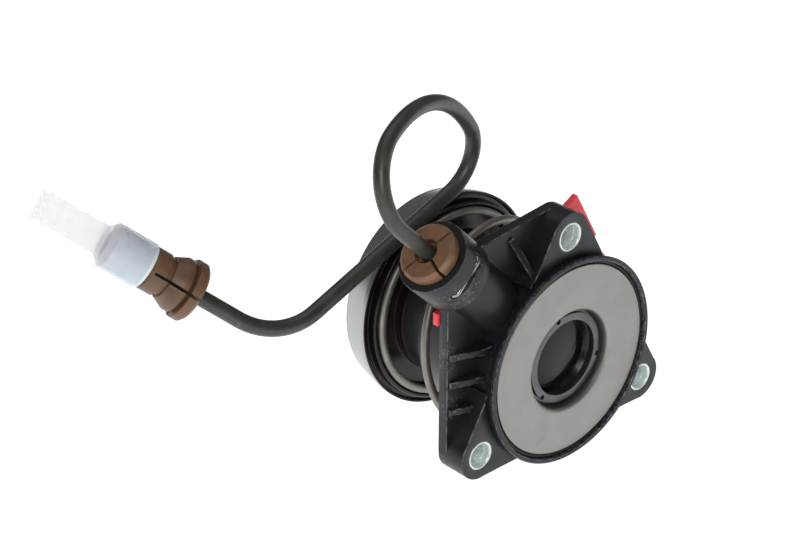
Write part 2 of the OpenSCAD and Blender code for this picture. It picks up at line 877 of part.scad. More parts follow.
module piston_seal() {
    mid = (piston_r0 + piston_r1) / 2;
    lip = 0.9;
    color([0.09, 0.09, 0.1])
        turned()
            polygon([[piston_r0, seal_y], [piston_r0 + lip, seal_y], [mid - 0.6, seal_y + seal_len / 2],
                [mid + 0.6, seal_y + seal_len / 2], [piston_r1 - lip, seal_y], [piston_r1, seal_y],
                [piston_r1, piston_y], [piston_r0, piston_y]]);
}

// Release bearing

module bearing_carrier() {
    hub_r = piston_r1;
    edge = 0.4;
    color([0.14, 0.11, 0.12])
        turned()
            polygon([[nose_r + fit, shoulder_y], [hub_r, shoulder_y], [hub_r, seat_y], [lip_r0, seat_y],
                [lip_r0, seat_y - lip_h + edge], [lip_r0 + edge, seat_y - lip_h],
                [lip_r1 - edge, seat_y - lip_h], [lip_r1, seat_y - lip_h + edge],
                [lip_r1, seat_y + lip_groove], [carrier_r, seat_y + lip_groove],
                [carrier_r, carrier_back_y], [nose_r + fit, carrier_back_y]]);
}

module bearing_shell() {
    inner_end_r = shell_end_r - shell_t;
    straight_y = carrier_back_y;
    bend = 1.2;
    color([0.8, 0.81, 0.82])
        turned()
            polygon([[shell_r - shell_t, shell_y], [shell_r, shell_y], [shell_r, straight_y],
                [shell_end_r, shell_end_y - bend], [shell_end_r - bend, shell_end_y],
                [shell_lip_r, shell_end_y], [shell_lip_r, shell_end_y - shell_t],
                [inner_end_r - bend, shell_end_y - shell_t], [inner_end_r, shell_end_y - shell_t - bend],
                [shell_r - shell_t, straight_y]]);
}

module bearing_outer_race() {
    color([0.66, 0.67, 0.69])
        difference() {
            turned()
                translate([outer_race_r0, carrier_back_y])
                    square([outer_race_r1 - outer_race_r0, outer_race_y1 - carrier_back_y]);
            round_ring(pitch_r, ball_y, groove_r);
        }
}

module centring_washer() {
    r0 = outer_race_r0 + 0.6;
    r1 = outer_race_r1 - 1.4;
    y0 = outer_race_y1;
    y1 = shell_end_y - shell_t;
    thick = 0.5;
    color([0.55, 0.56, 0.58])
        turned()
            polygon([[r0, y1 - thick], [r0, y1], [r0 + 0.6, y1], [r1, y0 + thick], [r1, y0],
                [r1 - 0.6, y0]]);
}

module bearing_shield() {
    r0 = inner_race_r1 + run;
    y0 = outer_race_y1 - shield_t;
    color([0.2, 0.16, 0.12])
        turned()
            translate([r0, y0])
                square([outer_race_r0 - fit - r0, shield_t]);
}

module at_balls() {
    for (i = [0:ball_count - 1])
        rotate([0, 360 * i / ball_count, 0])
            translate([pitch_r, ball_y, 0])
                children();
}

module bearing_balls() {
    color([0.72, 0.73, 0.75])
        at_balls()
            sphere(ball_r);
}

module ball_cage() {
    color([0.75, 0.72, 0.6])
        difference() {
            turned()
                translate([pitch_r - cage_t, ball_y - cage_half])
                    square([2 * cage_t, 2 * cage_half]);
            at_balls()
                rotate([0, 90, 0])
                    cylinder(h = 4 * cage_t, r = ball_r + 2 * fit, center = true);
        }
}

module bearing_inner_race() {
    y0 = ball_y - cage_half;
    nose = 1.4;
    color([0.7, 0.71, 0.73])
        difference() {
            turned()
                polygon([[race_bore_r, y0], [inner_race_r1, y0], [inner_race_r1, shell_end_y + 0.2],
                    [nose_face_r, contact_y - nose], [nose_face_r - nose, contact_y],
                    [race_bore_r + nose, contact_y], [race_bore_r, contact_y - nose]]);
            round_ring(pitch_r, ball_y, groove_r);
        }
}

housing();
guide_sleeve();
bolt_sleeves();
rim_seal();
sleeve_seal();
wiper_ring();
shaft_seal_case();
shaft_seal_lip();
seal_garter_spring();
stop_ring();
spring_seat_ring();
preload_spring();
port_collet();
port_seal();
port_clip();
pressure_pipe();
line_connector();
line_seal();
protective_cap();
piston();
piston_seal();
bearing_carrier();
bearing_shell();
bearing_outer_race();
centring_washer();
bearing_shield();
bearing_balls();
ball_cage();
bearing_inner_race();
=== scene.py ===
"""Dresses a concentric slave cylinder: housing, ring piston, release bearing and bent pressure line."""

import json
import math

import bmesh
import bpy
from bpy.props import FloatProperty, FloatVectorProperty, IntProperty, PointerProperty
from mathutils import Matrix, Vector

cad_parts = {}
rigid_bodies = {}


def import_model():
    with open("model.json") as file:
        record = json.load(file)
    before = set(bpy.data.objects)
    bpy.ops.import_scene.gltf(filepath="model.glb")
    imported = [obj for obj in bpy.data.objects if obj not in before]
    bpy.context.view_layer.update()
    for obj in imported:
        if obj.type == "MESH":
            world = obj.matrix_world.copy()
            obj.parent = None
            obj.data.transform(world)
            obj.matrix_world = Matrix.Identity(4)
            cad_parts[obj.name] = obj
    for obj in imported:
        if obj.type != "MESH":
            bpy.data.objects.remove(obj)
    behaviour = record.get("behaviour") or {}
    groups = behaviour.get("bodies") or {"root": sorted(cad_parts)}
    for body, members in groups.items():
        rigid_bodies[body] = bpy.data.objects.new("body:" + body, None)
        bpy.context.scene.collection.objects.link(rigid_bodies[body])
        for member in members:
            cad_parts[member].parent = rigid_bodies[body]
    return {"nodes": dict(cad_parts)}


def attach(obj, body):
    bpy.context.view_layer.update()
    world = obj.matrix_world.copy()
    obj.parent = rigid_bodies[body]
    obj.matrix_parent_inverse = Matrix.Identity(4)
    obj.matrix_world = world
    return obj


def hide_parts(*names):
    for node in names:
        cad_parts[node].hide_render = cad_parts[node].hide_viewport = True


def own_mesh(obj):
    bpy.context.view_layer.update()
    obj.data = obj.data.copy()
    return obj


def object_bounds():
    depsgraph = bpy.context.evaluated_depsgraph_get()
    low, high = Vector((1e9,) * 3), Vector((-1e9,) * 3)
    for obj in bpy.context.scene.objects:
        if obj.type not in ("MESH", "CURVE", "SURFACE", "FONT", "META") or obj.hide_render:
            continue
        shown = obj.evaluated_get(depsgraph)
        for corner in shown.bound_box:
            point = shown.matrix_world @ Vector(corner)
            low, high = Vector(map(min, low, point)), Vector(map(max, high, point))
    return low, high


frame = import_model()
CAD_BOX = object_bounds()

bl_info = {
    "name": "Concentric slave cylinder",
    "version": (1, 0, 0),
    "blender": (4, 5, 0),
    "location": "3D View > Sidebar > Slave cylinder",
    "description": "Builds the visible pieces of a concentric slave cylinder around its solids",
    "category": "Object",
}

MM = 0.001
FINE_TURN = 128
DISC_TURN = 160
PORT_ANGLE = 135
# Bends of the pipe: straight length before it, turn of its plane, bend angle and bend radius
PIPE_BENDS = [(12.5, 293, 114, 16), (0.5, 11, 71, 40), (0.5, 19, 107, 13), (58, 36, 66, 22)]
PIPE_TAIL = 15
EAR_ANGLES = (90, 210, 330)
WORN_AND_HIGHLIT_EDGE = "worn_and_highlit_edge"
RIM_LINE_WIDTH = 0.25
SHARP_ANGLE = 30


def size(text, default):
    note = text + ", in millimetres"
    return FloatProperty(name=text.capitalize(), description=note, default=default, min=0)


def tint(text, default):
    return FloatVectorProperty(name=text.capitalize(), description=text, default=default, subtype="COLOR",
                               size=3, min=0, max=1)


class FlangeSettings(bpy.types.PropertyGroup):
    edge_round: size("rounding of the moulded edges", 0.25)
    sleeve_bore_r: size("bore radius of the steel sleeves", 3.5)
    sleeve_r: size("outer radius of the steel sleeves", 4.5)
    depth: size("depth of the flange", 10.2)
    bolt_circle_r: size("radius of the bolt circle", 40)
    drum_r: size("outer radius of the drum round the disc", 33.3)
    rim_r: size("inner radius of the drum's rim", 31.8)
    black: tint("black moulding colour", (0.0095, 0.01, 0.0125))
    zinc: tint("zinc plate colour", (0.76, 0.85, 0.83))


class SleeveSettings(bpy.types.PropertyGroup):
    disc_r: size("radius of the disc", 30.5)
    disc_stand: size("stand of the disc above the mounting face", 2.2)
    sheet: size("sheet thickness", 1.5)
    bore_r: size("bore radius of the tube", 15.5)
    roll_r: size("radius of the roll at the bore", 2)
    end_y: size("place of the tube's end", 46)
    steel: tint("satin steel colour", (0.3, 0.294, 0.28))


class SpringSettings(bpy.types.PropertyGroup):
    wire_r: size("wire radius", 1.35)
    base_r: size("mean coil radius at the flange", 34)
    top_r: size("mean coil radius at the bearing", 30)
    base_y: size("wire centre at the flange", 14.05)
    top_y: size("wire centre at the bearing", 48.95)
    turns: FloatProperty(name="Turns", description="Number of turns", default=3)
    dead: FloatProperty(name="End turns", description="Length of each flat end, in turns", default=0.95)
    start: FloatProperty(name="Start", description="Direction of the wire's start, in degrees", default=302)
    wire: tint("spring wire colour", (0.25, 0.242, 0.213))
    seat: tint("red seat colour", (0.92, 0.05, 0.07))


class LineSettings(bpy.types.PropertyGroup):
    pipe_r: size("radius of the pipe", 2.375)
    port_y: size("place of the port's axis along the cylinder", 10.7)
    port_face_r: size("distance of the port's face from the axis", 66.7)
    pipe_tip: size("length of pipe inside the port", 21.8)
    spigot_end: size("length of the line connector", 23.6)
    coat: tint("pipe coat colour", (0.043, 0.045, 0.036))
    brown: tint("brown moulding colour", (0.175, 0.094, 0.052))
    cap: tint("protective cap colour", (0.7, 0.76, 0.84))


class BearingSettings(bpy.types.PropertyGroup):
    balls: IntProperty(name="Balls", description="Number of balls", default=20, min=3)
    ball_r: size("ball radius", 2.4)
    pitch_r: size("radius of the ball circle", 26.6)
    ball_y: size("place of the ball circle", 56.6)
    shell: tint("bright shell colour", (0.38, 0.385, 0.39))
    ground: tint("ground steel colour", (0.5, 0.505, 0.51))
    dish: tint("dark carrier colour", (0.007, 0.0036, 0.0044))


class StageSettings(bpy.types.PropertyGroup):
    lens: FloatProperty(name="Lens", description="Focal length of the camera", default=90, unit="CAMERA")
    floor_gap: size("gap between the part and the floor", 25)
    world: FloatProperty(name="World", description="Strength of the white surroundings", default=0.15)
    key: FloatProperty(name="Key", description="Power of the light by the camera", default=4.5, unit="POWER")
    top: FloatProperty(name="Top", description="Power of the light overhead", default=3, unit="POWER")
    glow: FloatProperty(name="Glow", description="Own light of the pale floor", default=0.86)


def settings(group):
    return getattr(bpy.context.scene.slave_cylinder, group)


# Shader values


class Wire:
    """A value on a shader socket. Arithmetic on it adds Math nodes."""

    def __init__(self, look, socket):
        self.look = look
        self.socket = socket

    def calc(self, operation, a, b):
        return self.look.add("ShaderNodeMath", {"operation": operation}, {0: a, 1: b})

    def __add__(self, other):
        return self.calc("ADD", self, other)

    def __radd__(self, other):
        return self.calc("ADD", other, self)

    def __sub__(self, other):
        return self.calc("SUBTRACT", self, other)

    def __rsub__(self, other):
        return self.calc("SUBTRACT", other, self)

    def __mul__(self, other):
        return self.calc("MULTIPLY", self, other)

    def __rmul__(self, other):
        return self.calc("MULTIPLY", other, self)

    def ramp(self, low, high):
        """0 at low and 1 at high, held outside them."""
        return self.look.add("ShaderNodeMapRange", {"interpolation_type": "SMOOTHSTEP"},
                             {"Value": self, "From Min": low, "From Max": high})


class Look:
    """One procedural material around a Principled shader."""

    def __init__(self, name, **constants):
        self.material = bpy.data.materials.new(name)
        self.material.use_nodes = True
        self.tree = self.material.node_tree
        self.shader = self.tree.nodes["Principled BSDF"]
        for key, value in constants.items():
            self.shader.inputs[key.replace("_", " ").title().replace("Ior", "IOR")].default_value = value
        self.place = self.add("ShaderNodeTexCoord", {}, {}, "Object")

    def add(self, kind, given, sockets, out=0):
        node = self.tree.nodes.new(kind)
        for key, value in given.items():
            setattr(node, key, value)
        for key, value in sockets.items():
            if isinstance(value, Wire):
                self.tree.links.new(value.socket, node.inputs[key])
            else:
                node.inputs[key].default_value = value
        return Wire(self, node.outputs[out])

    def noise(self, grain, detail, stretch=(1, 1, 1)):
        """Noise whose spots are about as wide as grain, in millimetres."""
        place = self.add("ShaderNodeMapping", {}, {"Vector": self.place, "Scale": stretch})
        scale = 1 / (grain * MM)
        return self.add("ShaderNodeTexNoise", {}, {"Vector": place, "Scale": scale, "Detail": detail})

    def lines(self, across, fineness, detail):
        """Fine lines across a value in metres."""
        sockets = {"W": across, "Scale": fineness, "Detail": detail}
        return self.add("ShaderNodeTexNoise", {"noise_dimensions": "1D"}, sockets)

    def axis(self, index):
        return self.add("ShaderNodeSeparateXYZ", {}, {"Vector": self.place}, index)

    def radius(self):
        """Distance from the cylinder's axis, in metres."""
        flat = self.add("ShaderNodeVectorMath", {"operation": "MULTIPLY"}, {0: self.place, 1: (1, 0, 1)})
        return self.add("ShaderNodeVectorMath", {"operation": "LENGTH"}, {0: flat}, "Value")

    def near(self, point, reach):
        """1 at a point in millimetres, and 0 past its reach."""
        far = self.add("ShaderNodeVectorMath", {"operation": "DISTANCE"},
                       {0: self.place, 1: [c * MM for c in point]}, "Value")
        return far.ramp(reach * MM, 0)

    def worn_and_highlit_edge(self):
        """1 on the rounded edges of a copied piece, broken up as handling wears them; the pale colour they
        get is partly wear and partly a painted highlight.
        """
        edge = self.add("ShaderNodeAttribute", {"attribute_name": WORN_AND_HIGHLIT_EDGE}, {}, "Fac")
        return edge * self.noise(2.5, 5).ramp(0.4, 0.64)

    def mix(self, share, first, second):
        colours = {0: share, 6: self.colour(first), 7: self.colour(second)}
        return self.add("ShaderNodeMix", {"data_type": "RGBA"}, colours, 2)

    def colour(self, value):
        return value if isinstance(value, Wire) else (*value, 1)

    def bump(self, height, depth):
        """Relief of that depth, in millimetres."""
        relief = {"Height": height, "Distance": depth * MM, "Strength": 1}
        self.feed("Normal", self.add("ShaderNodeBump", {}, relief))

    def feed(self, socket, value):
        self.tree.links.new(value.socket, self.shader.inputs[socket])


def scaled(colour, factor):
    return tuple(min(c * factor, 1) for c in colour)


def moulded_black(name, colour, sheen, scuffs=(), rims=(), pads=()):
    """Black moulding: faint grain, painted light on the front faces of the mounting pads, worn edges that
    also carry a painted highlight, pale rims that are painted highlight with some wear, and pale rubs at the
    places given.
    """
    look = Look(name, specular_ior_level=0.32)
    cloud = look.noise(14, 4)
    grain = look.noise(0.35, 2)
    fleck = look.noise(1.1, 5).ramp(0.7, 0.78)
    shade = look.mix(cloud.ramp(0.35, 0.7), colour, scaled(colour, 1.7))
    # Wear and painted highlight: pale flecks, and the rounded edges lightened as worn and as if catching
    # light
    wear_and_edge_highlight = fleck * 0.06 + look.worn_and_highlit_edge() * 0.5
    # Painted light: the front faces round each ear are lightened, as if lit more strongly
    for point, reach in pads:
        face = look.axis(1).ramp(0.4 * MM, 0.1 * MM) - look.axis(1).ramp(-0.5 * MM, -MM)
        dust_and_painted_light = face * look.near(point, reach).ramp(0, 0.2)
        shade = look.mix(dust_and_painted_light, shade, scaled(colour, 2.4))
    # Painted highlight with some wear: thin pale rings along the proud rims of the drum
    for radius in rims:
        ring = look.radius().ramp((radius - RIM_LINE_WIDTH) * MM, radius * MM)
        ring = ring - look.radius().ramp(radius * MM, (radius + RIM_LINE_WIDTH) * MM)
        proud = look.axis(1).ramp(-1.5 * MM, -2 * MM)
        wear_and_edge_highlight = wear_and_edge_highlight + ring * proud * look.noise(0.9, 6).ramp(0.38, 0.62) * 0.3
    for point, reach, strength in scuffs:
        scratch = look.noise(0.8, 6).ramp(0.56, 0.68) + look.noise(3, 8).ramp(0.46, 0.66) * 0.3
        wear_and_edge_highlight = wear_and_edge_highlight + look.near(point, reach) * scratch * strength
    look.feed("Base Color", look.mix(wear_and_edge_highlight, shade, (0.26, 0.27, 0.3)))
    look.feed("Roughness", cloud * 0.16 + grain * 0.08 + wear_and_edge_highlight * 0.2 + (sheen - 0.12))
    look.bump(grain, 0.02)
    return look.material


def satin_disc(name, colour):
    """Drawn sheet: fine turned lines, a soft mottle, a few rubs and painted shade on the roll into the bore.
    """
    look = Look(name)
    mottle = look.noise(9, 5)
    speck = look.noise(0.25, 2)
    smear = look.near((-12, -2.2, -24), 4) * look.noise(2, 4).ramp(0.45, 0.6)
    rings = look.lines(look.radius(), 2500.0, 2.0)
    # Painted shade: the roll into the bore is darkened and less metallic, lightening deeper inside the tube
    bore = look.radius().ramp(16.5 * MM, 15.7 * MM)
    inside = look.mix(look.axis(1).ramp(MM, 8 * MM), scaled(colour, 0.16), scaled(colour, 0.85))
    shade = look.mix(mottle.ramp(0.3, 0.75), scaled(colour, 0.93), scaled(colour, 1.06))
    shade = look.mix(smear * 0.3, shade, scaled(colour, 0.45))
    look.feed("Base Color", look.mix(bore, shade, inside))
    look.feed("Metallic", 1.0 - bore * 0.75)
    look.feed("Roughness", mottle * 0.14 + rings * 0.1 + 0.34)
    look.bump(speck + rings * 0.6, 0.006)
    return look.material


def plated(name, colour, roughness, grain=0.5, metallic=1.0):
    """Plated or ground steel with fine streaks."""
    look = Look(name, metallic=metallic)
    cloud = look.noise(6, 4)
    streak = look.noise(grain, 3, (1, 0.15, 1))
    look.feed("Base Color", look.mix(cloud.ramp(0.3, 0.75), scaled(colour, 0.86), scaled(colour, 1.08)))
    look.feed("Roughness", streak * 0.16 + cloud * 0.1 + (roughness - 0.13))
    look.bump(streak, 0.008)
    return look.material


def turned_shell(name, colour):
    """Bright drawn shell with lines round it and a darker turned edge."""
    look = Look(name, metallic=1.0)
    along = look.axis(1)
    lines = look.lines(along, 1600.0, 3.0)
    cloud = look.noise(11, 4)
    shade = look.mix(lines.ramp(0.3, 0.7), scaled(colour, 0.9), scaled(colour, 1.05))
    shade = look.mix(cloud.ramp(0.55, 0.8) * 0.25, shade, scaled(colour, 0.7))
    look.feed("Base Color", look.mix(along.ramp(51.7 * MM, 51.2 * MM), shade, (0.03, 0.02, 0.022)))
    look.feed("Roughness", lines * 0.14 + cloud * 0.1 + 0.16)
    look.bump(lines, 0.01)
    return look.material


def rubber(name, colour=(0.008, 0.008, 0.009), gloss=0.4):
    look = Look(name, specular_ior_level=0.35)
    dust_and_painted_light = look.noise(1.6, 5).ramp(0.55, 0.78)
    look.feed("Base Color", look.mix(dust_and_painted_light * 0.2, colour, (0.05, 0.05, 0.052)))
    look.feed("Roughness", look.noise(3, 3) * 0.2 + dust_and_painted_light * 0.15 + gloss)
    look.bump(look.noise(0.3, 2), 0.015)
    return look.material


def moulded_brown(name, colour):
    """Brown moulding: warm cloudy tint between a darker brown and a warmer orange, with fine orange flecks.
    """
    look = Look(name, specular_ior_level=0.5, subsurface_weight=0.06, subsurface_scale=0.001)
    cloud = look.noise(5, 4)
    grain = look.noise(0.4, 2)
    warm = (colour[0] * 1.16, colour[1] * 1.08, colour[2])
    shade = look.mix(cloud.ramp(0.3, 0.7), scaled(colour, 0.82), warm)
    look.feed("Base Color", look.mix(grain.ramp(0.6, 0.75) * 0.2, shade, (0.3, 0.14, 0.06)))
    look.feed("Roughness", cloud * 0.14 + grain * 0.08 + 0.3)
    look.bump(grain, 0.02)
    return look.material


def pipe_coat(name, colour):
    """Olive grey coat: cloudy, with fine streaks and small worn spots."""
    look = Look(name, specular_ior_level=0.55, metallic=0.15)
    cloud = look.noise(8, 5)
    speck = look.noise(0.6, 4)
    worn = look.noise(2.2, 6).ramp(0.68, 0.78)
    shade = look.mix(cloud.ramp(0.3, 0.72), scaled(colour, 0.78), scaled(colour, 1.25))
    look.feed("Base Color", look.mix(worn * 0.4, shade, (0.24, 0.24, 0.21)))
    look.feed("Roughness", cloud * 0.16 + speck * 0.1 + 0.24)
    look.bump(speck + cloud, 0.02)
    return look.material


def red_seat(name, colour):
    look = Look(name, specular_ior_level=0.5)
    cloud = look.noise(4, 4)
    look.feed("Base Color", look.mix(cloud.ramp(0.3, 0.7), scaled(colour, 0.88), scaled(colour, 1.12)))
    look.feed("Roughness", cloud * 0.15 + look.noise(0.5, 2) * 0.08 + 0.3)
    look.bump(look.noise(0.4, 2), 0.02)
    return look.material


def clear_cap(name, colour, mouth, heading):
    """Natural translucent moulding: bluish where the cup is thick, almost white along the tab, and a painted
    highlight along the mouth's lip.
    """
    look = Look(name, specular_ior_level=0.4, subsurface_weight=0.4, subsurface_scale=0.004)
    milk = look.noise(4, 3)
    away = look.add("ShaderNodeVectorMath", {"operation": "SUBTRACT"}, {0: look.place, 1: mouth})
    along = look.add("ShaderNodeVectorMath", {"operation": "DOT_PRODUCT"}, {0: away, 1: heading}, "Value")
    tab = along.ramp(10 * MM, 17 * MM)
    rim = look.add("ShaderNodeLayerWeight", {}, {"Blend": 0.35}, "Facing")
    # Painted highlight: the lip at the mouth is lightened to almost white
    lip = along.ramp(1.1 * MM, 0.5 * MM)
    cup = look.mix(milk, scaled(colour, 0.92), colour)
    cup = look.mix(lip, cup, (0.98, 0.98, 0.99))
    look.feed("Base Color", look.mix(tab, cup, (0.93, 0.94, 0.95)))
    look.feed("Alpha", milk * 0.1 + (0.72 - rim * 0.38 - tab * 0.34))
    look.feed("Roughness", milk * 0.15 + 0.22)
    look.bump(look.noise(0.8, 2), 0.01)
    return look.material


# Shapes


def softened(outline, radius, steps=4):
    """Closed outline with its corners rounded."""
    result = []
    count = len(outline)
    for i, corner in enumerate(outline):
        here = Vector(corner)
        before = Vector(outline[i - 1]) - here
        after = Vector(outline[(i + 1) % count]) - here
        if here.x < 1e-6:
            result.append(here)
            continue
        reach = min(radius, before.length * 0.45, after.length * 0.45)
        start = here + before.normalized() * reach
        end = here + after.normalized() * reach
        for k in range(steps + 1):
            t = k / steps
            result.append(start * (1 - t) ** 2 + here * 2 * t * (1 - t) + end * t ** 2)
    return result


def arc(centre, radius, first, last, steps=10):
    """Points on a circle, from one direction in degrees to another."""
    turn = [math.radians(first + (last - first) * k / steps) for k in range(steps + 1)]
    return [(centre[0] + radius * math.cos(a), centre[1] + radius * math.sin(a)) for a in turn]


def linked(name, mesh, material):
    obj = bpy.data.objects.new(name, mesh)
    bpy.context.scene.collection.objects.link(obj)
    mesh.materials.clear()
    mesh.materials.append(material)
    return obj


def smooth(mesh, angle=35):
    mesh.polygons.foreach_set("use_smooth", [True] * len(mesh.polygons))
    mesh.set_sharp_from_angle(angle=math.radians(angle))


def to_mesh(name, work, angle=35):
    """Plain mesh from a bmesh, with its doubles merged and its faces turned outwards."""
    bmesh.ops.remove_doubles(work, verts=work.verts, dist=1e-7)
    bmesh.ops.recalc_face_normals(work, faces=work.faces)
    mesh = bpy.data.meshes.new(name)
    work.to_mesh(mesh)
    work.free()
    smooth(mesh, angle)
    return mesh


def lathe_into(work, outline, turn=FINE_TURN):
    """Turns a closed outline of (radius, y) points, in millimetres, about the Y axis."""
    rings = []
    for i in range(turn):
        a = 2 * math.pi * i / turn
        rings.append([work.verts.new((r * math.cos(a) * MM, y * MM, r * math.sin(a) * MM))
                      for r, y in outline])
    count = len(outline)
    for i in range(turn):
        this, following = rings[i], rings[(i + 1) % turn]
        for j in range(count):
            k = (j + 1) % count
            if outline[j][0] < 1e-6 and outline[k][0] < 1e-6:
                continue
            work.faces.new((this[j], this[k], following[k], following[j]))


def turned(name, outline, material, place=None, turn=FINE_TURN):
    work = bmesh.new()
    lathe_into(work, outline, turn)
    if place is not None:
        bmesh.ops.transform(work, matrix=place, verts=work.verts)
    return linked(name, to_mesh(name, work), material)


def finished(obj):
    """Plain mesh of an object with its modifiers worked in, in the same place."""
    graph = bpy.context.evaluated_depsgraph_get()
    mesh = bpy.data.meshes.new_from_object(obj.evaluated_get(graph), depsgraph=graph)
    obj.modifiers.clear()
    old = obj.data
    obj.data = mesh
    if old.users == 0:
        bpy.data.batch_remove([old])
    return obj


def takes_rounding(edge, limit, width):
    """Whether an edge stands out, and both faces beside it are wide enough to round it."""
    if not edge.is_manifold or edge.calc_face_angle_signed() < limit:
        return False
    return all(2 * face.calc_area() > 2 * width * face.calc_perimeter() for face in edge.link_faces)


def copied(node, name, material, edge, segments=2):
    """Merged copy of a node's solid, with its outer edges rounded, in millimetres, and marked for wear and a
    painted edge highlight.
    """
    source = frame["nodes"][node].data.copy()
    if "custom_normal" in source.attributes:
        source.attributes.remove(source.attributes["custom_normal"])
    work = bmesh.new()
    work.from_mesh(source)
    bpy.data.batch_remove([source])
    bmesh.ops.remove_doubles(work, verts=work.verts, dist=2e-6)
    if edge > 0:
        width = edge * MM
        bmesh.ops.dissolve_limit(work, angle_limit=math.radians(0.6), verts=work.verts, edges=work.edges)
        outer = [e for e in work.edges if takes_rounding(e, math.radians(SHARP_ANGLE), width)]
        bmesh.ops.bevel(work, geom=outer, offset=width, offset_type="OFFSET", segments=segments, profile=0.5,
                        affect="EDGES", clamp_overlap=False, material=1)
    # The bevel faces are marked to take wear and a painted edge highlight
    worn = work.faces.layers.float.new(WORN_AND_HIGHLIT_EDGE)
    for face in work.faces:
        face[worn] = face.material_index
        face.material_index = 0
    return linked(name, to_mesh(name, work, 40), material)


def fitted(obj, body, slot, *nodes):
    """Rides a finished piece on its body in place of the nodes that it stands for."""
    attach(obj, body)
    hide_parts(*nodes)
    return obj


# Geometry node trees


class Tree:
    """A geometry node group with named number inputs."""

    def __init__(self, name, **numbers):
        self.group = bpy.data.node_groups.new(name, "GeometryNodeTree")
        self.group.interface.new_socket("Geometry", in_out="INPUT", socket_type="NodeSocketGeometry")
        for key in numbers:
            self.group.interface.new_socket(key, in_out="INPUT", socket_type="NodeSocketFloat")
        self.group.interface.new_socket("Geometry", in_out="OUTPUT", socket_type="NodeSocketGeometry")
        self.inputs = self.group.nodes.new("NodeGroupInput")
        self.numbers = numbers

    def add(self, kind, given=None, **sockets):
        node = self.group.nodes.new(kind)
        for key, value in (given or {}).items():
            setattr(node, key, value)
        for key, value in sockets.items():
            target = node.inputs[key.replace("_", " ")]
            if isinstance(value, bpy.types.NodeSocket):
                self.group.links.new(value, target)
            else:
                target.default_value = value
        return node

    def run(self, obj, last, material):
        """Ends the tree at last, runs it on obj and leaves a plain mesh."""
        real = self.add("GeometryNodeRealizeInstances", Geometry=last)
        dressed = self.add("GeometryNodeSetMaterial", Geometry=real.outputs[0], Material=material)
        end = self.group.nodes.new("NodeGroupOutput")
        self.group.links.new(dressed.outputs[0], end.inputs[0])
        modifier = obj.modifiers.new(self.group.name, "NODES")
        modifier.node_group = self.group
        for item in self.group.interface.items_tree:
            if item.in_out == "INPUT" and item.name in self.numbers:
                modifier[item.identifier] = float(self.numbers[item.name])
        return finished(obj)


def seed_points(name, points):
    """Loose vertices at the points, in millimetres, joined in a row."""
    mesh = bpy.data.meshes.new(name)
    row = [(i, i + 1) for i in range(len(points) - 1)]
    mesh.from_pydata([[c * MM for c in p] for p in points], row, [])
    obj = bpy.data.objects.new(name, mesh)
    bpy.context.scene.collection.objects.link(obj)
    return obj


def wire_along(name, points, radius, material, sides=20):
    """Round wire that follows the points."""
    obj = seed_points(name, points)
    tree = Tree(name + "_sweep", Radius=radius * MM, Sides=sides)
    path = tree.add("GeometryNodeMeshToCurve", Mesh=tree.inputs.outputs["Geometry"])
    ring = tree.add("GeometryNodeCurvePrimitiveCircle", Radius=tree.inputs.outputs["Radius"],
                    Resolution=tree.inputs.outputs["Sides"])
    sweep = tree.add("GeometryNodeCurveToMesh", Curve=path.outputs[0], Profile_Curve=ring.outputs[0],
                     Fill_Caps=True)
    tree.run(obj, sweep.outputs[0], material)
    work = bmesh.new()
    work.from_mesh(obj.data)
    bmesh.ops.recalc_face_normals(work, faces=work.faces)
    work.to_mesh(obj.data)
    work.free()
    smooth(obj.data, 50)
    return obj


def ear_centres():
    """Centres of the bolt sleeves on the mounting face, in millimetres."""
    reach = settings("flange").bolt_circle_r
    return [(reach * math.cos(math.radians(a)), 0, reach * math.sin(math.radians(a))) for a in EAR_ANGLES]


def row_frame(spot, angle):
    """Frame at a spot along the port: z runs outwards and x along the cylinder."""
    line = settings("line")
    lift = Matrix.Translation((0, line.port_y, 0))
    turn = Matrix.Rotation(math.radians(90 - angle), 4, "Y") @ Matrix.Rotation(math.radians(90), 4, "Z")
    return lift @ turn @ Matrix.Translation((0, 0, spot))


def pipe_route():
    """Points along the pipe's centre line in millimetres, and the frame at its far end."""
    line = settings("line")
    here = row_frame(line.port_face_r, PORT_ANGLE)
    points = [here @ Vector((0, 0, -line.pipe_tip)), here @ Vector((0, 0, -6)), here @ Vector((0, 0, 0))]
    for straight, roll, bend, radius in PIPE_BENDS:
        here = here @ Matrix.Translation((0, 0, straight)) @ Matrix.Rotation(math.radians(roll), 4, "Z")
        steps = max(4, round(bend / 3))
        for k in range(steps + 1):
            a = math.radians(bend * k / steps)
            points.append(here @ Vector((radius * (1 - math.cos(a)), 0, radius * math.sin(a))))
        turn = Matrix.Rotation(math.radians(bend), 4, "Y")
        here = here @ Matrix.Translation((radius, 0, 0)) @ turn @ Matrix.Translation((-radius, 0, 0))
    here = here @ Matrix.Translation((0, 0, PIPE_TAIL))
    points += [here @ Vector((0, 0, spot)) for spot in (-2, 0, line.spigot_end - 1)]
    return points, here


def on_frame(matrix):
    """Matrix that lays a shape turned about Y along a frame's z axis, for vertices in metres."""
    lay = Matrix(((1, 0, 0, 0), (0, 0, 1, 0), (0, 1, 0, 0), (0, 0, 0, 1)))
    place = matrix.copy()
    place.translation = matrix.translation * MM
    return place @ lay


class PieceOperator(bpy.types.Operator):
    """Base of the operators that make pieces"""

    bl_options = {"REGISTER", "UNDO"}

    def execute(self, context):
        self.build()
        return {"FINISHED"}


